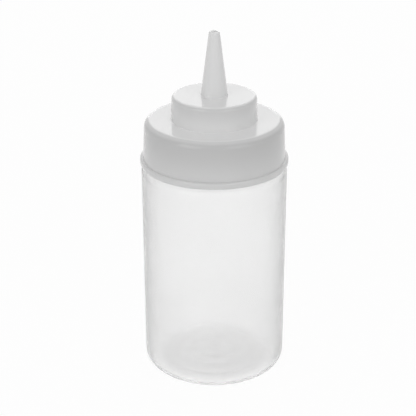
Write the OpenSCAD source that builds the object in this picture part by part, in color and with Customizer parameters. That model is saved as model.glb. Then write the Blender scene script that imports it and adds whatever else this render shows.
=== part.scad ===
// Squeeze bottle for sauce, with a stepped screw cap and an open cone nozzle
// Millimetres, +Z up, origin at the centre of the base on the table

/* [Bottle body] */
// Outside diameter of the straight body
body_d = 70; // [60:0.5:90]
// Height of the body from the table to the flat of its shoulder
body_h = 106; // [60:1:180]
// Thickness of the blown wall
body_wall = 1; // [0.7:0.1:1.6]
// Radius of the heel between the side and the base
heel_r = 5; // [3:0.5:7]
// Radius of the shoulder between the side and its flat
shoulder_r = 4; // [2:0.25:4.5]
// Diameter of the raised floor inside the ring that the bottle stands on
floor_d = 54; // [40:1:55]
// How far the middle of the floor is pushed up off the table
push_up = 2.5; // [1:0.25:5]

/* [Neck] */
// How far the neck's wall stands in from the body's side
neck_inset = 5; // [4.75:0.25:8]
// Height of the neck above the shoulder
neck_h = 19.5; // [15:0.5:26]
// Thickness of the neck's wall
neck_wall = 1.2; // [0.9:0.1:2]
// Radius of the rim's two edges
rim_edge_r = 0.3; // [0.1:0.05:0.45]
// Radius of the hollow corner where the neck leaves the shoulder
neck_cove_r = 0.6; // [0.2:0.1:0.7]

/* [Screw thread] */
// Rise of the thread in one turn, six turns to the inch
thread_pitch = 4.2333; // [3.7:0.1:5]
// How far the neck's thread stands out from its wall
thread_depth = 1.2; // [0.9:0.1:1.4]
// Width of both threads at the crest
thread_crest = 1.1; // [0.8:0.05:1.3]
// Lean of the flanks from square to the axis
thread_flank = 26; // [15:1:30]
// Turns of thread on the neck, and as many in the cap
thread_turns = 1.5; // [1:0.25:2]
// Distance from the rim down to the middle of the neck thread's upper end
thread_top = 3; // [2.5:0.25:5]
// Part of a turn over which a thread fades in and out
thread_fade = 0.1; // [0.05:0.01:0.2]
// Gap between a thread's crest and the other piece's wall
thread_clear = 0.4; // [0.3:0.05:0.6]
// Gap between the flanks that press together when the cap is tight
flank_gap = 0.15; // [0.1:0.05:0.3]

/* [Seal ring] */
// Thickness of the liner ring
seal_t = 1.1; // [0.6:0.1:2]
// How far the ring reaches in past the inner edge of the rim
seal_overlap = 1; // [0.5:0.25:3]
// Gap between the ring's rim and the cap's wall
seal_clear = 0.3; // [0.1:0.05:0.5]

/* [Cap] */
// Thickness of the moulded cap
cap_wall = 1.6; // [1.2:0.1:1.9]
// How much further out the skirt is at its foot than at its top
skirt_flare = 1.1; // [0.5:0.1:1.2]
// Radius of the shoulder edge round the skirt's top
skirt_edge_r = 3.6; // [2:0.2:4]
// Gap between the foot of the cap and the flat of the bottle's shoulder
foot_gap = 0.4; // [0.3:0.1:1]
// Height of the lip round the foot
lip_h = 3.2; // [2.6:0.2:4.4]
// How far the lip stands proud of the bottle's side
lip_proud = 0.6; // [0.3:0.1:1]
// Radius of the lip's two edges
lip_edge_r = 1; // [0.5:0.1:1.1]
// Radius of the hollow corner between the lip and the skirt
lip_cove_r = 0.4; // [0.2:0.05:0.5]
// Width of the slanted edge that guides the cap onto the neck
cap_lead_in = 0.5; // [0.2:0.1:0.8]
// Diameter of the drum on the shoulder, at its top
drum_d = 40.2; // [34:0.5:46]
// Height of the drum above the shoulder
drum_h = 11.8; // [8:0.5:20]
// How much further out the drum is at its foot than at its top
drum_flare = 0.4; // [0:0.1:1]
// Radius of the edge round the drum's top
drum_edge_r = 1.9; // [1:0.1:3]
// Radius of the hollow corners at the foot of the drum and of the nozzle
cap_cove_r = 0.3; // [0.1:0.05:1]

/* [Nozzle] */
// Height of the cone nozzle above the drum
nozzle_h = 30.5; // [20:0.5:45]
// Outside diameter of the cone where it leaves the drum
nozzle_base_d = 12.8; // [10:0.2:18]
// Outside diameter of the cone at its tip
nozzle_tip_d = 5; // [4.4:0.1:7]
// Thickness of the cone's wall at its base
nozzle_wall = 1.4; // [1:0.1:2]
// Diameter of the hole that the sauce leaves by
orifice_d = 3; // [2:0.1:3.4]
// Length of the straight stretch of that hole
orifice_land = 4; // [2:0.5:8]
// Radius of the tip's outer edge
tip_edge_r = 0.5; // [0.2:0.05:0.55]

/* [Hidden] */

// Facets of a full circle, and steps of a thread in one turn
$fn = 96;
thread_steps = 40;

// How deep a thread's root and a cove's back are sunk into the wall that carries them
root_sink = 0.5;
// Share of a thread's full depth that is left, out of sight in the wall, at its very end
thread_end = 0.15;

// Neck, from its wall out to the crest of its thread
body_r = body_d / 2;
neck_r = body_r - neck_inset;
mouth_r = neck_r - neck_wall;
neck_crest_r = neck_r + thread_depth;
rim_z = body_h + neck_h;

// Raised floor, an arc through the standing ring's inner edge and the pushed-up middle
floor_r = floor_d / 2;
floor_arc_r = (pow(floor_r, 2) + pow(push_up, 2)) / (2 * push_up);

// Cap, built outwards from the thread and upwards from the rim
cap_bore_r = neck_crest_r + thread_clear;
cap_foot_z = body_h + foot_gap;
lip_top_z = cap_foot_z + lip_h;
cap_ceiling_z = rim_z + seal_t;
cap_shoulder_z = cap_ceiling_z + cap_wall;
drum_top_z = cap_shoulder_z + drum_h;
drum_ceiling_z = drum_top_z - cap_wall;
tip_z = drum_top_z + nozzle_h;
skirt_r = cap_bore_r + cap_wall;
skirt_foot_r = skirt_r + skirt_flare;
bore_foot_r = cap_bore_r + skirt_flare;
lip_r = body_r + lip_proud;
drum_r = drum_d / 2;
drum_foot_r = drum_r + drum_flare;
drum_hollow_r = drum_r - cap_wall;
drum_hollow_foot_r = drum_hollow_r + drum_flare;
drum_hollow_edge_r = max(drum_edge_r - cap_wall, 0.3);

// Nozzle
nozzle_r = nozzle_base_d / 2;
orifice_r = orifice_d / 2;
orifice_low_z = tip_z - orifice_land;
bore_base_r = nozzle_r - nozzle_wall;

// Threads: the cap's lies under the neck's by both half widths at the flanks and the gap
cap_crest_r = neck_r + thread_clear;
engaged_depth = neck_crest_r - cap_crest_r;
neck_thread_z = rim_z - thread_top - thread_turns * thread_pitch;
cap_thread_z = neck_thread_z - thread_crest - engaged_depth * tan(thread_flank) - flank_gap;

// Past both ends of a cut, so that it leaves no skin
through = 1;

// Half outline of a round block that leans from r_low to r_high, with its edges rounded
module block_outline(r_low, r_high, z_low, z_high, low_edge, high_edge) {
    lean = atan2(r_low - r_high, z_high - z_low);
    low_centre = r_low - low_edge * (1 + sin(lean)) / cos(lean);
    high_centre = r_high - high_edge * (1 - sin(lean)) / cos(lean);
    polygon([
        [0, z_low],
        [low_centre, z_low],
        [low_centre + low_edge * cos(lean), z_low + low_edge * (1 + sin(lean))],
        [high_centre + high_edge * cos(lean), z_high - high_edge * (1 - sin(lean))],
        [high_centre, z_high],
        [0, z_high]
    ]);
    if (low_edge > 0) translate([low_centre, z_low + low_edge]) circle(low_edge);
    if (high_edge > 0) translate([high_centre, z_high - high_edge]) circle(high_edge);
}

// Fillet in the hollow corner between a flat at z and the side of such a block that rises from it
module cove_outline(r_low, r_high, z_low, z_high, z, cove_r) {
    lean = atan2(r_low - r_high, z_high - z_low);
    wall_r = r_low - (z - z_low) * tan(lean);
    centre_r = wall_r + cove_r * (1 - sin(lean)) / cos(lean);
    touch_z = z + cove_r * (1 - sin(lean));
    difference() {
        polygon([
            [wall_r - root_sink, z - root_sink],
            [centre_r, z - root_sink],
            [centre_r, z],
            [centre_r - cove_r * cos(lean), touch_z],
            [wall_r - root_sink, touch_z]
        ]);
        translate([centre_r, z + cove_r]) circle(cove_r);
    }
}

// Part of the full depth that a thread has after so many turns from its start
function faded(turn) =
    thread_end + (1 - thread_end) * min(1, turn / thread_fade, (thread_turns - turn) / thread_fade);

// Four corners of the thread's section, from its buried root out to its crest and back
function thread_section(turn, wall_r, crest_r, z_start) =
    let (
        side = sign(crest_r - wall_r),
        root_r = wall_r - side * root_sink,
        reach = abs(crest_r - root_r),
        root_half = thread_crest / 2 + reach * tan(thread_flank),
        tip_r = root_r + side * reach * faded(turn),
        z = z_start + turn * thread_pitch
    )
    [
        for (corner = [[root_r, -root_half], [tip_r, -thread_crest / 2],
                       [tip_r, thread_crest / 2], [root_r, root_half]])
            [corner[0] * cos(360 * turn), corner[0] * sin(360 * turn), z + corner[1]]
    ];

// Right-hand thread ridge on a wall, standing out or in towards its crest radius
module thread_ridge(wall_r, crest_r, z_start) {
    steps = ceil(thread_turns * thread_steps);
    points = [
        for (i = [0:steps]) each thread_section(i * thread_turns / steps, wall_r, crest_r, z_start)
    ];
    sides = [
        for (i = [0:steps - 1], k = [0:3])
            let (a = 4 * i + k, b = 4 * i + (k + 1) % 4) each [[a, b, a + 4], [b, b + 4, a + 4]]
    ];
    last = 4 * steps;
    ends = [[0, 2, 1], [0, 3, 2], [last, last + 1, last + 2], [last, last + 2, last + 3]];
    faces = crest_r > wall_r ? concat(sides, ends) : [for (f = concat(sides, ends)) [f[0], f[2], f[1]]];
    polyhedron(points, faces, convexity = 6);
}

// Blown bottle: heel, body, shoulder and neck, hollow to an even wall, with a pushed-up floor
module bottle() {
    color([0.93, 0.94, 0.95, 0.6]) union() {
        rotate_extrude() difference() {
            union() {
                block_outline(body_r, body_r, 0, body_h, heel_r, shoulder_r);
                block_outline(neck_r, neck_r, body_h - shoulder_r, rim_z, 0, rim_edge_r);
                cove_outline(neck_r, neck_r, 0, rim_z, body_h, neck_cove_r);
            }
            difference() {
                union() {
                    block_outline(body_r - body_wall, body_r - body_wall, body_wall, body_h - body_wall,
                                  heel_r - body_wall, shoulder_r - body_wall);
                    translate([0, body_wall]) square([mouth_r, rim_z]);
                    cove_outline(mouth_r, mouth_r, 0, rim_z, body_h - body_wall,
                                 neck_cove_r + body_wall);
                }
                translate([0, push_up - floor_arc_r]) circle(floor_arc_r + body_wall);
            }
            translate([0, push_up - floor_arc_r]) circle(floor_arc_r);
        }
        thread_ridge(neck_r, neck_crest_r, neck_thread_z);
    }
}

// Liner ring that lies on the rim, under the cap's flat ceiling
module seal_ring() {
    color("gainsboro") translate([0, 0, rim_z]) difference() {
        cylinder(r = cap_bore_r - seal_clear, h = seal_t);
        translate([0, 0, -through]) cylinder(r = mouth_r - seal_overlap, h = seal_t + 2 * through);
    }
}

// Outside of the cap: lip, leaning skirt, drum and cone, with hollow corners between them
module cap_outline() {
    block_outline(lip_r, lip_r, cap_foot_z, lip_top_z, lip_edge_r, lip_edge_r);
    block_outline(skirt_foot_r, skirt_r, cap_foot_z, cap_shoulder_z, 0, skirt_edge_r);
    cove_outline(skirt_foot_r, skirt_r, cap_foot_z, cap_shoulder_z, lip_top_z, lip_cove_r);
    block_outline(drum_foot_r, drum_r, cap_ceiling_z, drum_top_z, 0, drum_edge_r);
    cove_outline(drum_foot_r, drum_r, cap_ceiling_z, drum_top_z, cap_shoulder_z, cap_cove_r);
    block_outline(nozzle_r, nozzle_tip_d / 2, drum_top_z, tip_z, 0, tip_edge_r);
    cove_outline(nozzle_r, nozzle_tip_d / 2, drum_top_z, tip_z, drum_top_z, cap_cove_r);
}

// Hollow of the cap: lead-in, skirt, drum, the cone's tapered bore and the straight hole at its
// tip, with the edges between them rounded to leave an even wall
module cap_hollow_outline() {
    block_outline(bore_foot_r + cap_lead_in + through, bore_foot_r, cap_foot_z - through,
                  cap_foot_z + cap_lead_in, 0, 0);
    block_outline(bore_foot_r, cap_bore_r, cap_foot_z - through, cap_ceiling_z, 0, 0);
    block_outline(drum_hollow_foot_r, drum_hollow_r, cap_ceiling_z - through, drum_ceiling_z,
                  0, drum_hollow_edge_r);
    cove_outline(drum_hollow_foot_r, drum_hollow_r, cap_ceiling_z - through, drum_ceiling_z,
                 cap_ceiling_z, cap_cove_r + cap_wall);
    block_outline(bore_base_r, orifice_r, drum_ceiling_z - through, orifice_low_z, 0, 0);
    cove_outline(bore_base_r, orifice_r, drum_ceiling_z - through, orifice_low_z,
                 drum_ceiling_z, cap_cove_r + nozzle_wall);
    translate([0, orifice_low_z - through]) square([orifice_r, orifice_land + 2 * through]);
}

// Screw cap: the hollow shell and the thread inside its skirt
module screw_cap() {
    color("whitesmoke") union() {
        rotate_extrude() difference() {
            cap_outline();
            cap_hollow_outline();
        }
        thread_ridge(cap_bore_r + root_sink, cap_crest_r, cap_thread_z);
    }
}

bottle();
seal_ring();
screw_cap();
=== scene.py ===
import math

import bpy
import numpy as np
from bpy.props import FloatProperty, FloatVectorProperty, IntProperty, PointerProperty
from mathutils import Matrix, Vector


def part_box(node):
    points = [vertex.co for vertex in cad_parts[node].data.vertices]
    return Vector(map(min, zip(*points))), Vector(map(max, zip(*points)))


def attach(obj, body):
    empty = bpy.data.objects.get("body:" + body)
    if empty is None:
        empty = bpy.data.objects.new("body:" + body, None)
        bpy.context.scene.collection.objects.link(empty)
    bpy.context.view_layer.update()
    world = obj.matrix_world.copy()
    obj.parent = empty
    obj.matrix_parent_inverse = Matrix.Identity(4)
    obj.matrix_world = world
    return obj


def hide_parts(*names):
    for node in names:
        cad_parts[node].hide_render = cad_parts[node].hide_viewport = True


bl_info = {
    "name": "Squeeze sauce bottle",
    "version": (1, 0, 0),
    "blender": (4, 5, 0),
    "location": "View3D > Sidebar > Sauce bottle",
    "description": "Makes a soft squeeze bottle with a stepped screw cap, its seal ring and a plain "
                   "studio",
    "category": "Add Mesh",
}

MM = 0.001
COLUMNS = 192        # columns of mesh once round the bottle and the cap
SEAM_COLUMNS = 9     # more of them across each mould seam
SEAL_COLUMNS = 160   # columns of mesh once round the liner ring
SAME_POINT = 1e-7    # outline points closer than this many metres are one
ON_AXIS = 1e-9       # an outline that starts closer to the axis than this closes on it

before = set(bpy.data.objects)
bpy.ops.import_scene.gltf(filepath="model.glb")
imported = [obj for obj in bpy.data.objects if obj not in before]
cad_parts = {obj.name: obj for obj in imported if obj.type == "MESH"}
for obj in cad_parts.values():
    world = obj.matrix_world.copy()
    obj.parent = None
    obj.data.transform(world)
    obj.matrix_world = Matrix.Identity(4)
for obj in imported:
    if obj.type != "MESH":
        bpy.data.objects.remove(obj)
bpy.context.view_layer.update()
BOTTLE_LOW, BOTTLE_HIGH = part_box("bottle")
SEAL_LOW, SEAL_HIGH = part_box("seal_ring")
CAP_LOW, CAP_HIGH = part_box("screw_cap")


def length(name, description, default):
    """A length property in metres that is shown in the scene's units."""
    return FloatProperty(name=name, description=description, default=default, min=0.0,
                         precision=5, subtype="DISTANCE", unit="LENGTH")


def colour(name, description, default):
    """A colour property, given as an sRGB hex value and kept as linear red, green and blue."""
    return FloatVectorProperty(name=name, description=description, default=linear(default),
                               size=3, min=0.0, max=1.0, subtype="COLOR")


def point(name, description, default):
    """A point property in metres."""
    return FloatVectorProperty(name=name, description=description, default=default, size=3,
                               subtype="TRANSLATION", unit="LENGTH")


def linear(hex_value):
    """Linear red, green and blue of an sRGB value such as "#E1E2E3", by the sRGB curve."""
    code = np.array([int(hex_value[i:i + 2], 16) for i in (1, 3, 5)]) / 255
    return tuple(np.where(code <= 0.04045, code / 12.92, ((code + 0.055) / 1.055) ** 2.4).tolist())


class BottleSizes(bpy.types.PropertyGroup):
    """Sizes of the blown bottle and its neck"""

    body_radius: length("Body radius", "Outside radius of the straight body", BOTTLE_HIGH.x)
    rim_height: length("Rim height", "Height of the neck's rim above the table", BOTTLE_HIGH.z)
    neck_height: length("Neck height", "Height of the neck above the shoulder", 19.5 * MM)
    wall: length("Wall", "Thickness of the blown wall", 1.0 * MM)
    heel_radius: length("Heel radius", "Radius between the side and the base", 5.0 * MM)
    shoulder_radius: length("Shoulder radius", "Radius between the side and the shoulder", 4.0 * MM)
    floor_radius: length("Raised floor radius", "Inner radius of the standing ring", 27.0 * MM)
    push_up: length("Push-up", "How far the floor's middle is raised", 2.5 * MM)
    ring_pitch: length("Ring pitch", "From one shallow ring in the floor to the next", 7.5 * MM)
    ring_radius: length("Ring radius", "Radius of the middle ring", 17.0 * MM)
    ring_rise: length("Ring rise", "How far the rings stand up", 0.6 * MM)
    neck_inset: length("Neck inset", "How far the neck stands in from the side", 5.0 * MM)
    neck_wall: length("Neck wall", "Thickness of the neck's wall", 1.2 * MM)
    rim_edge: length("Rim edge", "Radius of the rim's edges", 0.3 * MM)
    neck_cove: length("Neck cove", "Radius where the neck leaves the shoulder", 0.6 * MM)
    seam: length("Mould seam", "How far the seam of the two mould halves stands out", 0.05 * MM)
    seam_width: length("Seam width", "Half width of that seam", 0.35 * MM)
    pinch: length("Pinch-off", "How far the pinched line hangs from the floor", 0.45 * MM)
    pinch_reach: length("Pinch-off reach", "Half length of that line", 15.0 * MM)
    pinch_fade: length("Pinch-off fade", "Length in which that line fades out", 2.0 * MM)


class ThreadSizes(bpy.types.PropertyGroup):
    """Sizes of the screw thread on the neck and in the cap"""

    pitch: length("Pitch", "Rise in one turn, six turns to the inch", 4.2333 * MM)
    depth: length("Depth", "How far the neck's thread stands out", 1.2 * MM)
    crest: length("Crest", "Width of a thread's crest", 1.1 * MM)
    flank: FloatProperty(name="Flank", description="Lean of a flank from square to the axis",
                         default=math.radians(26), subtype="ANGLE", unit="ROTATION")
    turns: FloatProperty(name="Turns", description="Turns of thread on either piece",
                         default=1.5, min=0.5)
    fade: FloatProperty(name="Fade", description="Part of a turn in which a thread fades in",
                        default=0.1, min=0.01)
    top: length("Top", "From the rim down to the middle of the thread's upper end", 3.0 * MM)
    clearance: length("Clearance", "Gap between a crest and the other wall", 0.4 * MM)
    flank_gap: length("Flank gap", "Gap between the flanks that press together", 0.15 * MM)


class CapSizes(bpy.types.PropertyGroup):
    """Sizes of the moulded cap and its cone nozzle"""

    lip_radius: length("Lip radius", "Outside radius of the lip", CAP_HIGH.x)
    foot_height: length("Foot height", "Height of the cap's foot above the table", CAP_LOW.z)
    ceiling_height: length("Ceiling height", "Height of the flat that presses on the seal",
                           SEAL_HIGH.z)
    tip_height: length("Tip height", "Height of the nozzle's tip", CAP_HIGH.z)
    wall: length("Wall", "Thickness of the moulded wall", 1.6 * MM)
    skirt_flare: length("Skirt flare", "How much further out the skirt's foot is", 1.1 * MM)
    skirt_edge: length("Skirt edge", "Radius round the skirt's top", 3.6 * MM)
    lip_height: length("Lip height", "Height of the lip", 3.2 * MM)
    lip_edge: length("Lip edge", "Radius of the lip's edges", 1.0 * MM)
    lip_cove: length("Lip cove", "Radius of the hollow corner between the lip and the skirt",
                     0.4 * MM)
    lead_in: length("Lead-in", "Width of the slanted edge that guides the cap onto the neck",
                    0.5 * MM)
    drum_radius: length("Drum radius", "Radius of the drum at its top", 20.1 * MM)
    drum_flare: length("Drum flare", "How much further out the drum's foot is", 0.4 * MM)
    drum_edge: length("Drum edge", "Radius round the drum's top", 1.9 * MM)
    cove: length("Cove", "Radius of the hollow corners at the drum and the cone", 0.3 * MM)
    nozzle_height: length("Nozzle height", "Height of the cone above the drum", 30.5 * MM)
    nozzle_radius: length("Nozzle radius", "Radius of the cone where it leaves the drum", 6.4 * MM)
    tip_radius: length("Tip radius", "Radius of the cone at its tip", 2.5 * MM)
    nozzle_wall: length("Nozzle wall", "Thickness of the cone's wall at its base", 1.4 * MM)
    hole_radius: length("Hole radius", "Radius of the hole at the tip", 1.5 * MM)
    hole_land: length("Hole land", "Length of the hole's straight stretch", 4.0 * MM)
    tip_edge: length("Tip edge", "Radius of the tip's outer edge", 0.5 * MM)
    hole_edge: length("Hole edge", "Radius of the hole's edge at the tip", 0.3 * MM)
    inner_edge: length("Inner edge", "Radius of the sharpest corners inside", 0.15 * MM)


class SealSizes(bpy.types.PropertyGroup):
    """Sizes of the flat liner ring"""

    outer_radius: length("Outer radius", "Outside radius of the ring", SEAL_HIGH.x)
    foot_height: length("Foot height", "Height of its lower face above the table", SEAL_LOW.z)
    top_height: length("Top height", "Height of its upper face above the table", SEAL_HIGH.z)
    overlap: length("Overlap", "How far it reaches in past the neck's wall", 1.0 * MM)
    edge: length("Edge", "Radius of its cut edges", 0.1 * MM)


class Finish(bpy.types.PropertyGroup):
    """Colours of the plastics, with painted light and shade in the cap's tones and painted shade in
    the bottle's base and foot tones, and where the bottle's wall is thicker
    """

    bottle_thin: colour("Bottle, thin", "Natural polyethylene where the wall is thin", "#FFFFFF")
    # The thick base's tone is partly the thicker plastic and partly painted shade for the shadow
    # under the bottle seen through the base.
    bottle_thick_and_shaded: colour("Bottle, thick", "Natural polyethylene of the thick base", "#EDEDED")
    bottle_milky: FloatProperty(name="Milky share", default=0.05, min=0.0, max=1.0,
                                description="Share of the wall's light that it scatters evenly")
    base_inner: length("Thick base, inner", "Radius within which the base is thickest", 20.25 * MM)
    base_outer: length("Thick base, outer", "Radius at which it is thin again", 43.75 * MM)
    base_top: length("Thick base, top", "Height at which it is thin again", 25.0 * MM)
    base_stretch: FloatProperty(name="Thick base, stretch", default=1.35, min=1.0,
                                description="How much further it reaches along the pinched line")
    # Painted shade: the foot's tone darkens the wall towards the bottom.
    foot_shade_share: FloatProperty(name="Thick foot", default=0.15, min=0.0, max=1.0,
                              description="How thick the wall's foot is, as a share of the base")
    foot_shade_top: length("Thick foot, top", "Height at which the wall is thin again", 40.0 * MM)
    uneven_share: FloatProperty(name="Uneven wall", default=0.08, min=0.0, max=1.0,
                                description="How much the wall's thickness varies, in like shares")
    # The cap's tones by height are painted light and shade: painted light on the skirt's open end,
    # the flats, the drum's foot and the thin cone, painted shade on the skirt where the neck stands
    # behind it and on the drum's top. The rounded edge's tone is painted shading across the skirt's
    # top.
    cap_foot_painted_light: colour("Cap, foot", "Milky polyethylene of the skirt's open end", "#DADADA")
    cap_skirt_painted_shade: colour("Cap, skirt", "Milky polyethylene where the neck stands behind it", "#C8C8C8")
    cap_edge_painted_shading: colour("Cap, rounded edge", "Milky polyethylene of the skirt's rounded top", "#DCDCDC")
    cap_flat_painted_light: colour("Cap, flats", "Milky polyethylene of the shoulder and the drum's top", "#F4F4F4")
    cap_drum_foot_painted_light: colour("Cap, drum's foot", "Milky polyethylene low on the drum's side", "#E6E6E6")
    cap_drum_painted_shade: colour("Cap, drum", "Milky polyethylene of the drum's side, at its top", "#D4D4D4")
    cap_cone_painted_light: colour("Cap, cone", "Milky polyethylene of the thin cone", "#E6E6E6")
    # Painted light: the tip's tone lightens the shaded inside of the hole.
    cap_tip_painted_light: colour("Cap, tip", "Milky polyethylene at the tip's hole", "#FDFDFD")
    seal: colour("Seal", "Off-white liner", "#DADADA")
    cell_shade: FloatProperty(name="Cell shade", default=0.92, min=0.0, max=1.0,
                              description="How bright the liner's cells are beside its skin")


class Studio(bpy.types.PropertyGroup):
    """Camera, lamps and floor"""

    elevation: FloatProperty(name="Elevation", default=math.radians(24.23), subtype="ANGLE",
                             unit="ROTATION",
                             description="How far above level the camera looks from")
    distance: length("Distance", "From the camera to the point that it looks at", 0.5697)
    aim_height: length("Aim height", "Height of that point on the bottle's axis", 81.7 * MM)
    focal_pixels: FloatProperty(name="Focal length", default=1164.0,
                                description="Focal length in pixels of the photograph")
    frame_pixels: IntProperty(name="Frame", default=416,
                              description="Width of the photograph in pixels")
    axis_pixel: FloatProperty(name="Axis", default=214.3,
                              description="Column of the photograph that the axis stands in")
    floor_size: length("Floor size", "Side of the floor", 6.0)
    floor_matt: FloatProperty(name="Floor, matt", default=0.95, min=0.0, max=1.0,
                              description="Share of light that the matt floor gives back")
    floor_white: FloatProperty(name="Floor, white", default=0.96, min=0.0, max=1.0,
                               description="Share of the seen floor that is plain white")
    sky: FloatProperty(name="Sky", default=0.56, min=0.0,
                       description="Strength of the even light from all round")
    lamp_size: length("Lamp size", "Side of each soft lamp", 0.9)
    left_power: FloatProperty(name="Left lamp", default=3.35, unit="POWER",
                              description="Power of the soft lamp at the left")
    left_place: point("Left lamp, place", "Where the left lamp stands", (-0.85, -1.0, 0.6))
    right_power: FloatProperty(name="Right lamp", default=2.6, unit="POWER",
                               description="Power of the soft lamp at the right")
    right_place: point("Right lamp, place", "Where the right lamp stands", (0.85, -1.0, 0.6))
    back_power: FloatProperty(name="Back lamp", default=2.0, unit="POWER",
                              description="Power of the bright panel behind the bottle")
    back_place: point("Back lamp, place", "Where the panel stands", (0.0, 1.3, 0.5))


def arc(centre, radius, start, end, steps):
    """Outline points on an arc: the centre plus the radius times (cosine, sine) of angles, in
    degrees, from start to end."""
    angle = np.radians(np.linspace(start, end, steps + 1))
    return np.stack([centre[0] + radius * np.cos(angle), centre[1] + radius * np.sin(angle)], axis=1)


def line(start, end, steps):
    """Outline points on a straight run, closer together at both ends: the share of the way is
    (1 - cos t) / 2 for t from 0 to pi."""
    share = (0.5 - 0.5 * np.cos(np.linspace(0, math.pi, steps + 1)))[:, None]
    return np.asarray(start) * (1 - share) + np.asarray(end) * share


def outline(*runs):
    """The runs one after the other, without a point that repeats the one before it."""
    points = np.concatenate(runs)
    moved = np.linalg.norm(np.diff(points, axis=0, prepend=points[:1] - 1), axis=1)
    return points[moved > SAME_POINT]


def lean(low, high):
    """Angle in degrees by which a side from low to high leans towards the axis."""
    return math.degrees(math.atan2(low[0] - high[0], high[1] - low[1]))


def outer_edge(low, high, radius, steps):
    """Arc that rounds the corner between a leaning side and the flat on top of it.
    It touches both: its centre lies the radius below the flat and the radius inside the side."""
    angle = lean(low, high)
    inward = radius * (1 - math.sin(math.radians(angle))) / math.cos(math.radians(angle))
    return arc((high[0] - inward, high[1] - radius), radius, angle, 90, steps)


def hollow_corner(low, high, radius, steps):
    """Arc that fills the corner between a flat and the leaning side that rises from it at low.
    It touches both: its centre lies the radius above the flat and the radius outside the side."""
    angle = lean(low, high)
    outward = radius * (1 - math.sin(math.radians(angle))) / math.cos(math.radians(angle))
    return arc((low[0] + outward, low[1] + radius), radius, 270, 180 + angle, steps)


def on_side(low, high, height):
    """Radius of a leaning side at that height, in proportion between its two ends."""
    return low[0] + (high[0] - low[0]) * (height - low[1]) / (high[1] - low[1])


def even_angles(columns):
    """Angles once round the axis, the first at +X."""
    return np.arange(columns) * (2 * math.pi / columns)


def seamed_angles(columns, reach):
    """Even angles, with more of them within reach of the two mould seams, at 0 and 180 degrees."""
    near = np.linspace(-reach, reach, SEAM_COLUMNS)
    every = np.concatenate([even_angles(columns), near, near + math.pi]) % (2 * math.pi)
    return np.unique(np.round(every, 6))


def turned(name, profile, angles, radii=None, heights=None):
    """Surface of revolution: the point of row i and column j is (r cos a, r sin a, z), with r and z
    from the profile, or from the grids radii and heights where they are given, and a the column's
    angle. Where the profile's ends lie on the axis, each closes in one point, and a profile that
    stays off the axis closes on itself."""
    columns = len(angles)
    radii = np.repeat(profile[:, :1], columns, axis=1) if radii is None else radii
    heights = np.repeat(profile[:, 1:], columns, axis=1) if heights is None else heights
    points = np.stack([radii * np.cos(angles), radii * np.sin(angles), heights], axis=2)
    capped = profile[0, 0] < ON_AXIS
    rings = points[1:-1] if capped else points
    rows = len(rings)
    row = np.arange(rows - 1 if capped else rows)[:, None]
    here, turn = np.arange(columns), np.roll(np.arange(columns), -1)
    low, high = row * columns, (row + 1) % rows * columns
    faces = np.stack([low + here, low + turn, high + turn, high + here], axis=2)
    faces = faces.reshape(-1, 4).tolist()
    points = rings.reshape(-1, 3)
    if capped:
        first, last = np.full(columns, len(points)), np.full(columns, len(points) + 1)
        top = (rows - 1) * columns
        faces += np.stack([first, turn, here], axis=1).tolist()
        faces += np.stack([top + here, top + turn, last], axis=1).tolist()
        ends = [(0, 0, heights[0].mean()), (0, 0, heights[-1].mean())]
        points = np.concatenate([points, ends])
    mesh = bpy.data.meshes.new(name)
    mesh.from_pydata(points, [], faces)
    mesh.shade_smooth()
    piece = bpy.data.objects.new(name, mesh)
    bpy.context.scene.collection.objects.link(piece)
    return piece


def thread_reach(sizes, heights, angles, start):
    """How far a right-hand thread reaches at each height and angle, as two grids.
    The helix passes the angle a at heights start + (k + a / 2 pi) pitch for whole k, and the nearest
    one counts. The first grid is the distance past the edge of its crest, never under 0, over the
    tangent of the flank's lean, which is how far the flank has sunk below the crest. The second is
    how much of the thread is left by its fade at both ends, from 0 to 1."""
    share = angles / (2 * math.pi)
    turn = np.round((heights - start) / sizes.pitch - share) + share
    off = np.abs(heights - start - turn * sizes.pitch)
    sunk = np.maximum(off - sizes.crest / 2, 0) / math.tan(sizes.flank)
    left = np.minimum(turn, sizes.turns - turn) / sizes.fade
    return sunk, np.clip(left, 0, 1)


def give(piece, material, node):
    """The piece gets its finish, moves with the body of that name and stands for the CAD node."""
    piece.data.materials.append(material)
    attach(piece, node)
    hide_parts(node)


def add_node(tree, kind, settings=None, links=None):
    """Adds a node of that kind. settings are values for its own fields or, by name or number, its
    sockets, and links are outputs that feed its sockets."""
    node = tree.nodes.new(kind)
    for key, value in (settings or {}).items():
        if isinstance(key, str) and hasattr(node, key):
            setattr(node, key, value)
        else:
            node.inputs[key].default_value = value
    for key, output in (links or {}).items():
        tree.links.new(output, node.inputs[key])
    return node


def new_material(name):
    """An empty node material."""
    material = bpy.data.materials.new(name)
    material.use_nodes = True
    material.node_tree.nodes.clear()
    return material


def fine_pattern(tree, place, size, low=0.0, high=1.0, detail=2.0, stretch=(1, 1, 1)):
    """Noise whose blobs are about that many metres across, on Object coordinates, stretched along
    the axes. It goes from low to high as the noise goes from 0.3 to 0.7, where nearly all of it
    lies."""
    scale = tuple(1 / part for part in stretch)
    spread = add_node(tree, "ShaderNodeMapping", {"Scale": scale},
                      {"Vector": place.outputs["Object"]})
    noise = add_node(tree, "ShaderNodeTexNoise",
                     {"Scale": 1 / size, "Detail": detail, "Roughness": 0.5},
                     {"Vector": spread.outputs["Vector"]})
    ranged = add_node(tree, "ShaderNodeMapRange",
                      {"From Min": 0.3, "From Max": 0.7, "To Min": low, "To Max": high},
                      {"Value": noise.outputs["Fac"]})
    return ranged.outputs["Result"]


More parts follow.
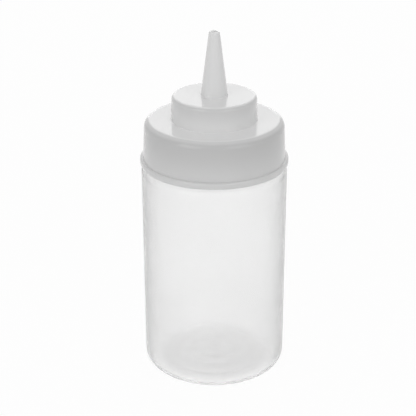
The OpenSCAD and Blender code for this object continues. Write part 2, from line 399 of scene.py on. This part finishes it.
def blown_polyethylene(finish):
    """Natural low-density polyethylene, blow-moulded.
    A soft, faintly milky wall that passes light and blurs what is behind it, a little greyer in the
    thick base, which also holds painted shade for the shadow under the bottle, with painted shade
    that darkens the wall towards the bottom, and glossy, with the faint long ripples that the blowing
    leaves."""
    material = new_material("blown_natural_polyethylene")
    tree = material.node_tree
    place = add_node(tree, "ShaderNodeTexCoord")
    part = add_node(tree, "ShaderNodeSeparateXYZ", links={"Vector": place.outputs["Object"]})
    # The base is thicker along the line where it was pinched shut, so its tint reaches further there.
    # The tint also holds painted shade for the shadow under the bottle seen through the base.
    flat = add_node(tree, "ShaderNodeMapping", {"Scale": (1, finish.base_stretch, 0)},
                    {"Vector": place.outputs["Object"]})
    out = add_node(tree, "ShaderNodeVectorMath", {"operation": "LENGTH"},
                   {0: flat.outputs["Vector"]})
    further_in = add_node(tree, "ShaderNodeMapRange",
                          {"interpolation_type": "SMOOTHSTEP", "From Min": finish.base_outer,
                           "From Max": finish.base_inner}, {"Value": out.outputs["Value"]})
    lower_down = add_node(tree, "ShaderNodeMapRange",
                          {"interpolation_type": "SMOOTHSTEP", "From Min": finish.base_top,
                           "From Max": 0}, {"Value": part.outputs["Z"]})
    in_base = add_node(tree, "ShaderNodeMath", {"operation": "MULTIPLY"},
                       {0: further_in.outputs["Result"], 1: lower_down.outputs["Result"]})
    # Painted shade: the wall darkens towards the bottom, below the foot's top.
    foot_painted_shade = add_node(tree, "ShaderNodeMapRange",
                       {"interpolation_type": "SMOOTHSTEP", "From Min": finish.foot_shade_top,
                        "From Max": 0, "To Max": finish.foot_shade_share}, {"Value": part.outputs["Z"]})
    uneven = fine_pattern(tree, place, size=28 * MM, high=finish.uneven_share, detail=1.0,
                          stretch=(1, 1, 2))
    # The mix's factor adds the base's tone with its painted shade, the foot's painted shade and the
    # uneven wall's real tone.
    thick = add_node(tree, "ShaderNodeMath", {"operation": "MAXIMUM"},
                     {0: in_base.outputs[0], 1: foot_painted_shade.outputs["Result"]})
    thick = add_node(tree, "ShaderNodeMath", {"operation": "ADD", "use_clamp": True},
                     {0: thick.outputs[0], 1: uneven})
    body = add_node(tree, "ShaderNodeMix",
                    {"data_type": "RGBA", 6: (*finish.bottle_thin, 1), 7: (*finish.bottle_thick_and_shaded, 1)},
                    {"Factor": thick.outputs[0]})
    ripples = fine_pattern(tree, place, size=14 * MM, detail=1.0, stretch=(1, 1, 4))
    soft = add_node(tree, "ShaderNodeBump", {"Strength": 0.1, "Distance": 0.1 * MM},
                    {"Height": ripples})
    blur = fine_pattern(tree, place, size=6 * MM, low=0.21, high=0.24, stretch=(1, 1, 3))
    surface = add_node(tree, "ShaderNodeBsdfPrincipled",
                       {"IOR": 1.4, "Transmission Weight": 1 - finish.bottle_milky,
                        "Specular IOR Level": 0.5},
                       {"Base Color": body.outputs[2], "Normal": soft.outputs["Normal"],
                        "Roughness": blur})
    add_node(tree, "ShaderNodeOutputMaterial", links={"Surface": surface.outputs["BSDF"]})
    return material


def moulded_polyethylene(finish, sizes):
    """Milky polyethylene, injection-moulded.
    A slightly waxy white with a soft gloss from the polished mould and light that creeps a little
    Its tone by height is painted light and shade: painted shade where the neck stands behind the
    skirt and at the drum's top, and painted light on the skirt's open end, the flats, the drum's foot
    and the thin cone."""
    material = new_material("moulded_milky_polyethylene")
    tree = material.node_tree
    place = add_node(tree, "ShaderNodeTexCoord")
    part = add_node(tree, "ShaderNodeSeparateXYZ", links={"Vector": place.outputs["Object"]})
    low, high = sizes.foot_height, sizes.tip_height
    share = add_node(tree, "ShaderNodeMapRange", {"From Min": low, "From Max": high},
                     {"Value": part.outputs["Z"]})
    tint = add_node(tree, "ShaderNodeValToRGB", links={"Fac": share.outputs["Result"]})
    tint.color_ramp.interpolation = "EASE"
    shoulder, drum_top = sizes.ceiling_height + sizes.wall, high - sizes.nozzle_height
    # Painted light and shade: these tones along the height light the flats, the drum's foot, the
    # skirt's open end and the cone, and shade the skirt and the drum's top.
    painted_light_stops = (
        (low, finish.cap_foot_painted_light),
        (shoulder - sizes.skirt_edge / 2, finish.cap_skirt_painted_shade),
        (shoulder - sizes.skirt_edge / 12, finish.cap_edge_painted_shading),
        (shoulder, finish.cap_flat_painted_light),
        (shoulder + sizes.cove / 2, finish.cap_drum_foot_painted_light),
        (drum_top - sizes.drum_edge / 3, finish.cap_drum_painted_shade),
        (drum_top, finish.cap_flat_painted_light),
        (drum_top + sizes.cove / 2, finish.cap_cone_painted_light),
    )
    for _ in painted_light_stops[2:]:
        tint.color_ramp.elements.new(1)
    for stop, (z, shade) in zip(tint.color_ramp.elements, painted_light_stops):
        stop.position, stop.color = (z - low) / (high - low), (*shade, 1)
    flat = add_node(tree, "ShaderNodeCombineXYZ",
                    links={"X": part.outputs["X"], "Y": part.outputs["Y"]})
    out = add_node(tree, "ShaderNodeVectorMath", {"operation": "LENGTH"},
                   {0: flat.outputs["Vector"]})
    # Painted light: round the tip's hole the tone turns lighter, over the shade inside the hole.
    hole_painted_light = add_node(tree, "ShaderNodeMapRange",
                       {"From Min": sizes.tip_radius, "From Max": sizes.tip_radius - sizes.tip_edge},
                       {"Value": out.outputs["Value"]})
    tint = add_node(tree, "ShaderNodeMix", {"data_type": "RGBA", 7: (*finish.cap_tip_painted_light, 1)},
                    {"Factor": hole_painted_light.outputs["Result"], 6: tint.outputs["Color"]})
    soft = add_node(tree, "ShaderNodeBump", {"Strength": 0.05, "Distance": 0.01 * MM},
                    {"Height": fine_pattern(tree, place, size=1.2 * MM)})
    surface = add_node(tree, "ShaderNodeBsdfPrincipled",
                       {"IOR": 1.51, "Subsurface Weight": 0.3, "Subsurface Radius": (1.0, 1.0, 1.0),
                        "Subsurface Scale": 1.5 * MM, "Specular IOR Level": 0.5},
                       {"Base Color": tint.outputs[2], "Normal": soft.outputs["Normal"],
                        "Roughness": fine_pattern(tree, place, size=4 * MM, low=0.10, high=0.13)})
    add_node(tree, "ShaderNodeOutputMaterial", links={"Surface": surface.outputs["BSDF"]})
    return material


def foamed_liner(finish):
    """Foamed polyethylene liner, cut from sheet: off-white and matt, with fine closed cells."""
    material = new_material("foamed_polyethylene_liner")
    tree = material.node_tree
    place = add_node(tree, "ShaderNodeTexCoord")
    cells = fine_pattern(tree, place, size=0.5 * MM, detail=1.0)
    deeper = tuple(part * finish.cell_shade for part in finish.seal)
    tint = add_node(tree, "ShaderNodeMix",
                    {"data_type": "RGBA", 6: (*finish.seal, 1), 7: (*deeper, 1)}, {"Factor": cells})
    soft = add_node(tree, "ShaderNodeBump", {"Strength": 0.3, "Distance": 0.05 * MM},
                    {"Height": cells})
    surface = add_node(tree, "ShaderNodeBsdfPrincipled", {"IOR": 1.45},
                       {"Base Color": tint.outputs[2], "Normal": soft.outputs["Normal"],
                        "Roughness": fine_pattern(tree, place, size=0.5 * MM, low=0.6, high=0.8,
                                                  detail=1.0)})
    add_node(tree, "ShaderNodeOutputMaterial", links={"Surface": surface.outputs["BSDF"]})
    return material


def ringed(s, run):
    """The floor's arch with its shallow rings: the height grows by half the rise times
    (1 + cos 2 pi (r - ring radius) / pitch), fading out over the last half pitch inside the standing
    ring and over the first round the axis."""
    r = run[:, 0]
    wave = (1 + np.cos(2 * math.pi * (r - s.ring_radius) / s.ring_pitch)) / 2
    fade = np.clip(np.minimum(r, s.floor_radius - r) / s.ring_pitch * 2, 0, 1)
    return run + np.stack([np.zeros(len(r)), s.ring_rise * wave * fade], axis=1)


def bottle_profile(s):
    """Outline of the bottle's wall, from the axis under the floor, up the outside, over the rim and
    down the inside to the axis again, a mask of the neck's outer rows, and how many rows lie
    outside."""
    neck = s.body_radius - s.neck_inset
    mouth = neck - s.neck_wall
    shoulder = s.rim_height - s.neck_height
    heel = (s.body_radius - s.heel_radius, s.heel_radius)
    turn = (s.body_radius - s.shoulder_radius, shoulder - s.shoulder_radius)
    under = shoulder - s.wall
    cove = s.neck_cove + s.wall
    bend = (s.floor_radius ** 2 + s.push_up ** 2) / (2 * s.push_up)
    bend_centre = (0, s.push_up - bend)
    outer_angle = math.degrees(math.acos(s.floor_radius / bend))
    floor_under = ringed(s, arc(bend_centre, bend, 90, outer_angle, 54))
    inner_angle = math.degrees(math.asin((s.wall - bend_centre[1]) / (bend + s.wall)))
    floor_inside = ringed(s, arc(bend_centre, bend + s.wall, inner_angle, 90, 54))
    outside = outline(
        floor_under,
        line(floor_under[-1], (heel[0], 0), 4),
        arc(heel, s.heel_radius, -90, 0, 14),
        line((s.body_radius, heel[1]), (s.body_radius, turn[1]), 40),
        arc(turn, s.shoulder_radius, 0, 90, 14),
        line((turn[0], shoulder), (neck + s.neck_cove, shoulder), 3),
        arc((neck + s.neck_cove, shoulder + s.neck_cove), s.neck_cove, 270, 180, 6),
    )
    wall = line((neck, shoulder + s.neck_cove), (neck, s.rim_height - s.rim_edge), 170)[1:-1]
    inside = outline(
        arc((neck - s.rim_edge, s.rim_height - s.rim_edge), s.rim_edge, 0, 90, 6),
        arc((mouth + s.rim_edge, s.rim_height - s.rim_edge), s.rim_edge, 90, 180, 6),
        line((mouth, s.rim_height - s.rim_edge), (mouth, under + cove), 12),
        arc((mouth + cove, under + cove), cove, 180, 270, 8),
        line((mouth + cove, under), (turn[0], under), 4),
        arc(turn, s.shoulder_radius - s.wall, 90, 0, 12),
        line((s.body_radius - s.wall, turn[1]), (s.body_radius - s.wall, heel[1]), 40),
        arc(heel, s.heel_radius - s.wall, 0, -90, 12),
        line((heel[0], s.wall), floor_inside[0], 3),
        floor_inside,
    )
    inside[-1, 0] = 0
    outside[0, 0] = 0
    mask = np.concatenate([np.zeros(len(outside)), np.ones(len(wall)), np.zeros(len(inside))])
    return np.concatenate([outside, wall, inside]), mask > 0, len(outside) + len(wall)


def cap_profile(s, thread, neck):
    """Outline of the cap's wall, from the foot's inner edge, up the outside to the tip, down the
    bore and the inside of the drum, and down the threaded wall, whose rows the mask gives."""
    bore = neck + thread.depth + thread.clearance
    shoulder = s.ceiling_height + s.wall
    drum_top = s.tip_height - s.nozzle_height
    drum_ceiling = drum_top - s.wall
    hole_low = s.tip_height - s.hole_land
    lip_top = s.foot_height + s.lip_height
    skirt = ((bore + s.wall + s.skirt_flare, s.foot_height), (bore + s.wall, shoulder))
    drum = ((s.drum_radius + s.drum_flare, s.ceiling_height), (s.drum_radius, drum_top))
    cone = ((s.nozzle_radius, drum_top), (s.tip_radius, s.tip_height))
    taper = ((s.nozzle_radius - s.nozzle_wall, drum_ceiling), (s.hole_radius, hole_low))
    hollow = ((s.drum_radius - s.wall + s.drum_flare, s.ceiling_height),
              (s.drum_radius - s.wall, drum_ceiling))
    inner = ((bore + s.skirt_flare, s.foot_height), (bore, s.ceiling_height))
    skirt_low = (on_side(*skirt, lip_top), lip_top)
    drum_low = (on_side(*drum, shoulder), shoulder)
    over_lip = hollow_corner(skirt_low, skirt[1], s.lip_cove, 6)
    skirt_edge = outer_edge(*skirt, s.skirt_edge, 14)
    by_drum = hollow_corner(drum_low, drum[1], s.cove, 6)
    drum_edge = outer_edge(*drum, s.drum_edge, 12)
    by_cone = hollow_corner(*cone, s.cove, 6)
    tip_edge = outer_edge(*cone, s.tip_edge, 6)
    bore_mouth = hollow_corner(*taper, s.cove + s.nozzle_wall, 10)[::-1]
    drum_mouth = hollow_corner(*hollow, s.cove + s.wall, 10)[::-1]
    fine = s.inner_edge
    smooth = outline(
        line((inner[0][0] + s.lead_in, s.foot_height), (s.lip_radius - s.lip_edge, s.foot_height), 6),
        arc((s.lip_radius - s.lip_edge, s.foot_height + s.lip_edge), s.lip_edge, -90, 0, 10),
        arc((s.lip_radius - s.lip_edge, lip_top - s.lip_edge), s.lip_edge, 0, 90, 10),
        over_lip,
        line(over_lip[-1], skirt_edge[0], 24),
        skirt_edge,
        line(skirt_edge[-1], by_drum[0], 12),
        by_drum,
        line(by_drum[-1], drum_edge[0], 14),
        drum_edge,
        line(drum_edge[-1], by_cone[0], 12),
        by_cone,
        line(by_cone[-1], tip_edge[0], 24),
        tip_edge,
        arc((s.hole_radius + s.hole_edge, s.tip_height - s.hole_edge), s.hole_edge, 90, 180, 6),
        line((s.hole_radius, s.tip_height - s.hole_edge), taper[1], 8),
        line(taper[1], bore_mouth[0], 20),
        bore_mouth,
        line(bore_mouth[-1], (hollow[1][0] - 2 * fine, drum_ceiling), 10),
        arc((hollow[1][0] - 2 * fine, drum_ceiling - 2 * fine), 2 * fine, 90, 0, 5),
        line((hollow[1][0], drum_ceiling - 2 * fine), drum_mouth[0], 10),
        drum_mouth,
        line(drum_mouth[-1], (bore - fine, s.ceiling_height), 10),
        arc((bore - fine, s.ceiling_height - fine), fine, 90, 0, 4),
    )
    wall = line((bore, s.ceiling_height - fine), (inner[0][0], s.foot_height + s.lead_in), 190)[1:]
    foot = line(wall[-1], smooth[0], 4)[1:-1]
    mask = np.concatenate([np.zeros(len(smooth)), np.ones(len(wall)), np.zeros(len(foot))])
    return np.concatenate([smooth, wall, foot]), mask > 0


class BlowBottle(bpy.types.Operator):
    """Make the blown bottle with its threaded neck, mould seam and pinched base"""

    bl_idname = "sauce_bottle.blow_bottle"
    bl_label = "Blow the bottle"

    def execute(self, context):
        s, thread = context.scene.bottle_sizes, context.scene.thread_sizes
        profile, on_neck, outside = bottle_profile(s)
        angles = seamed_angles(COLUMNS, 2 * s.seam_width / s.body_radius)
        radii = np.repeat(profile[:, :1], len(angles), axis=1)
        heights = np.repeat(profile[:, 1:], len(angles), axis=1)
        # The mould's halves meet at y = 0: a ridge of Gaussian section up the side and the neck
        ridge = np.exp(-(np.sin(angles) * radii / s.seam_width) ** 2)
        side = (np.arange(len(profile)) < outside) & (profile[:, 1] > s.heel_radius / 2)
        radii += np.where(side[:, None], s.seam * ridge, 0)
        # The base is pinched shut along the same line: a ridge that hangs from the raised floor
        under = (np.arange(len(profile)) < outside) & (profile[:, 0] < s.floor_radius)
        along = np.clip((s.pinch_reach - radii) / s.pinch_fade, 0, 1)
        heights -= np.where(under[:, None], s.pinch * ridge * along, 0)
        start = s.rim_height - thread.top - thread.turns * thread.pitch
        sunk, left = thread_reach(thread, heights, angles, start)
        crest = (s.body_radius - s.neck_inset) + thread.depth * left
        radii = np.where(on_neck[:, None] & (left > 0), np.maximum(radii, crest - sunk), radii)
        bottle = turned("blown_bottle", profile, angles, radii, heights)
        give(bottle, blown_polyethylene(context.scene.finish), "bottle")
        return {"FINISHED"}


class MouldCap(bpy.types.Operator):
    """Make the one-piece cap: lip, skirt, drum, hollow cone and the thread inside"""

    bl_idname = "sauce_bottle.mould_cap"
    bl_label = "Mould the cap"

    def execute(self, context):
        s, thread = context.scene.cap_sizes, context.scene.thread_sizes
        bottle = context.scene.bottle_sizes
        neck = bottle.body_radius - bottle.neck_inset
        profile, on_wall = cap_profile(s, thread, neck)
        angles = even_angles(COLUMNS)
        radii = np.repeat(profile[:, :1], len(angles), axis=1)
        heights = np.repeat(profile[:, 1:], len(angles), axis=1)
        crest = neck + thread.clearance
        engaged = thread.depth - thread.clearance
        start = (bottle.rim_height - thread.top - thread.turns * thread.pitch
                 - thread.crest - engaged * math.tan(thread.flank) - thread.flank_gap)
        sunk, left = thread_reach(thread, heights, angles, start)
        reach = radii - (radii - crest) * left
        radii = np.where(on_wall[:, None] & (left > 0), np.minimum(radii, reach + sunk), radii)
        cap = turned("moulded_cap", profile, angles, radii, heights)
        give(cap, moulded_polyethylene(context.scene.finish, s), "screw_cap")
        return {"FINISHED"}


class CutSeal(bpy.types.Operator):
    """Make the flat liner ring between the rim and the cap"""

    bl_idname = "sauce_bottle.cut_seal"
    bl_label = "Cut the seal"

    def execute(self, context):
        s, bottle = context.scene.seal_sizes, context.scene.bottle_sizes
        low, high, edge, outer = s.foot_height, s.top_height, s.edge, s.outer_radius
        inner = bottle.body_radius - bottle.neck_inset - bottle.neck_wall - s.overlap
        profile = outline(
            line((inner + edge, low), (outer - edge, low), 8),
            arc((outer - edge, low + edge), edge, -90, 0, 4),
            arc((outer - edge, high - edge), edge, 0, 90, 4),
            line((outer - edge, high), (inner + edge, high), 8),
            arc((inner + edge, high - edge), edge, 90, 180, 4),
            arc((inner + edge, low + edge), edge, 180, 270, 4)[:-1],
        )
        ring = turned("liner_ring", profile, even_angles(SEAL_COLUMNS))
        give(ring, foamed_liner(context.scene.finish), "seal_ring")
        return {"FINISHED"}


def white_for_sight(tree):
    """1 for rays of the camera, of gloss and through the plastic, and 0 for the rest."""
    ray = add_node(tree, "ShaderNodeLightPath")
    some = add_node(tree, "ShaderNodeMath", {"operation": "MAXIMUM"},
                    {0: ray.outputs["Is Camera Ray"], 1: ray.outputs["Is Glossy Ray"]})
    return add_node(tree, "ShaderNodeMath", {"operation": "MAXIMUM"},
                    {0: some.outputs[0], 1: ray.outputs["Is Transmission Ray"]})


def pale_floor(studio):
    """Matt white floor that is seen mostly as plain white, so that it keeps only a soft shadow, and
    is clear from below."""
    material = new_material("pale_floor")
    tree = material.node_tree
    sight = white_for_sight(tree)
    share = add_node(tree, "ShaderNodeMath", {"operation": "MULTIPLY", 1: studio.floor_white},
                     {0: sight.outputs[0]})
    matt = add_node(tree, "ShaderNodeBsdfDiffuse", {"Color": (*[studio.floor_matt] * 3, 1)})
    plain = add_node(tree, "ShaderNodeEmission", {"Color": (1, 1, 1, 1), "Strength": 1.0})
    seen = add_node(tree, "ShaderNodeMixShader", links={0: share.outputs[0], 1: matt.outputs[0],
                                                        2: plain.outputs[0]})
    clear = add_node(tree, "ShaderNodeBsdfTransparent")
    side = add_node(tree, "ShaderNodeNewGeometry")
    both = add_node(tree, "ShaderNodeMixShader",
                    links={0: side.outputs["Backfacing"], 1: seen.outputs[0], 2: clear.outputs[0]})
    add_node(tree, "ShaderNodeOutputMaterial", links={"Surface": both.outputs[0]})
    return material


def soft_lamp(name, power, size, place, aim):
    """Square area lamp at place that faces aim."""
    lamp = bpy.data.lights.new(name, "AREA")
    lamp.energy, lamp.size = power, size
    piece = bpy.data.objects.new(name, lamp)
    piece.location = place
    piece.rotation_euler = (aim - piece.location).to_track_quat("-Z", "Y").to_euler()
    bpy.context.scene.collection.objects.link(piece)


class SetStage(bpy.types.Operator):
    """Set the pale floor, the soft lamps, the white surroundings and the camera"""

    bl_idname = "sauce_bottle.set_stage"
    bl_label = "Set the stage"

    def execute(self, context):
        studio = context.scene.studio
        half = studio.floor_size / 2
        mesh = bpy.data.meshes.new("floor")
        mesh.from_pydata([(-half, -half, 0), (half, -half, 0), (half, half, 0), (-half, half, 0)], [],
                         [(0, 1, 2, 3)])
        floor = bpy.data.objects.new("floor", mesh)
        context.scene.collection.objects.link(floor)
        mesh.materials.append(pale_floor(studio))

        aim = Vector((0, 0, (BOTTLE_LOW.z + CAP_HIGH.z) / 2))
        soft_lamp("left_lamp", studio.left_power, studio.lamp_size, studio.left_place, aim)
        soft_lamp("right_lamp", studio.right_power, studio.lamp_size, studio.right_place, aim)
        soft_lamp("back_lamp", studio.back_power, studio.lamp_size, studio.back_place, aim)

        world = bpy.data.worlds.new("studio")
        context.scene.world = world
        world.use_nodes = True
        tree = world.node_tree
        tree.nodes.clear()
        sight = white_for_sight(tree)
        strength = add_node(tree, "ShaderNodeMapRange", {"To Min": studio.sky, "To Max": 1.0},
                            {"Value": sight.outputs[0]})
        sky = add_node(tree, "ShaderNodeBackground", {"Color": (1, 1, 1, 1)},
                       {"Strength": strength.outputs["Result"]})
        add_node(tree, "ShaderNodeOutputWorld", links={"Surface": sky.outputs[0]})

        camera = bpy.data.cameras.new("camera")
        camera.sensor_width = 36.0
        camera.lens = studio.focal_pixels / studio.frame_pixels * camera.sensor_width
        camera.shift_x = (studio.frame_pixels / 2 - studio.axis_pixel) / studio.frame_pixels
        piece = bpy.data.objects.new("camera", camera)
        piece.location = (0, -studio.distance * math.cos(studio.elevation),
                          studio.aim_height + studio.distance * math.sin(studio.elevation))
        piece.rotation_euler = (math.pi / 2 - studio.elevation, 0, 0)
        context.scene.collection.objects.link(piece)
        context.scene.camera = piece
        context.scene.view_settings.view_transform = "Standard"
        return {"FINISHED"}


class SaucePanel(bpy.types.Panel):
    """Lists the steps that make the bottle and its studio"""

    bl_idname = "VIEW3D_PT_sauce_bottle"
    bl_label = "Sauce bottle"
    bl_space_type = "VIEW_3D"
    bl_region_type = "UI"
    bl_category = "Sauce bottle"

    def draw(self, context):
        for step in STEPS:
            self.layout.operator(step.bl_idname)


STEPS = (BlowBottle, MouldCap, CutSeal, SetStage)
GROUPS = {"bottle_sizes": BottleSizes, "thread_sizes": ThreadSizes, "cap_sizes": CapSizes,
          "seal_sizes": SealSizes, "finish": Finish, "studio": Studio}


def register():
    for group in GROUPS.values():
        bpy.utils.register_class(group)
    for name, group in GROUPS.items():
        setattr(bpy.types.Scene, name, PointerProperty(type=group))
    for item in (*STEPS, SaucePanel):
        bpy.utils.register_class(item)


def unregister():
    for item in (SaucePanel, *reversed(STEPS)):
        bpy.utils.unregister_class(item)
    for name in GROUPS:
        delattr(bpy.types.Scene, name)
    for group in reversed(GROUPS.values()):
        bpy.utils.unregister_class(group)


def main():
    register()
    bpy.ops.sauce_bottle.blow_bottle()
    bpy.ops.sauce_bottle.mould_cap()
    bpy.ops.sauce_bottle.cut_seal()
    bpy.ops.sauce_bottle.set_stage()


if __name__ == "__main__":
    main()
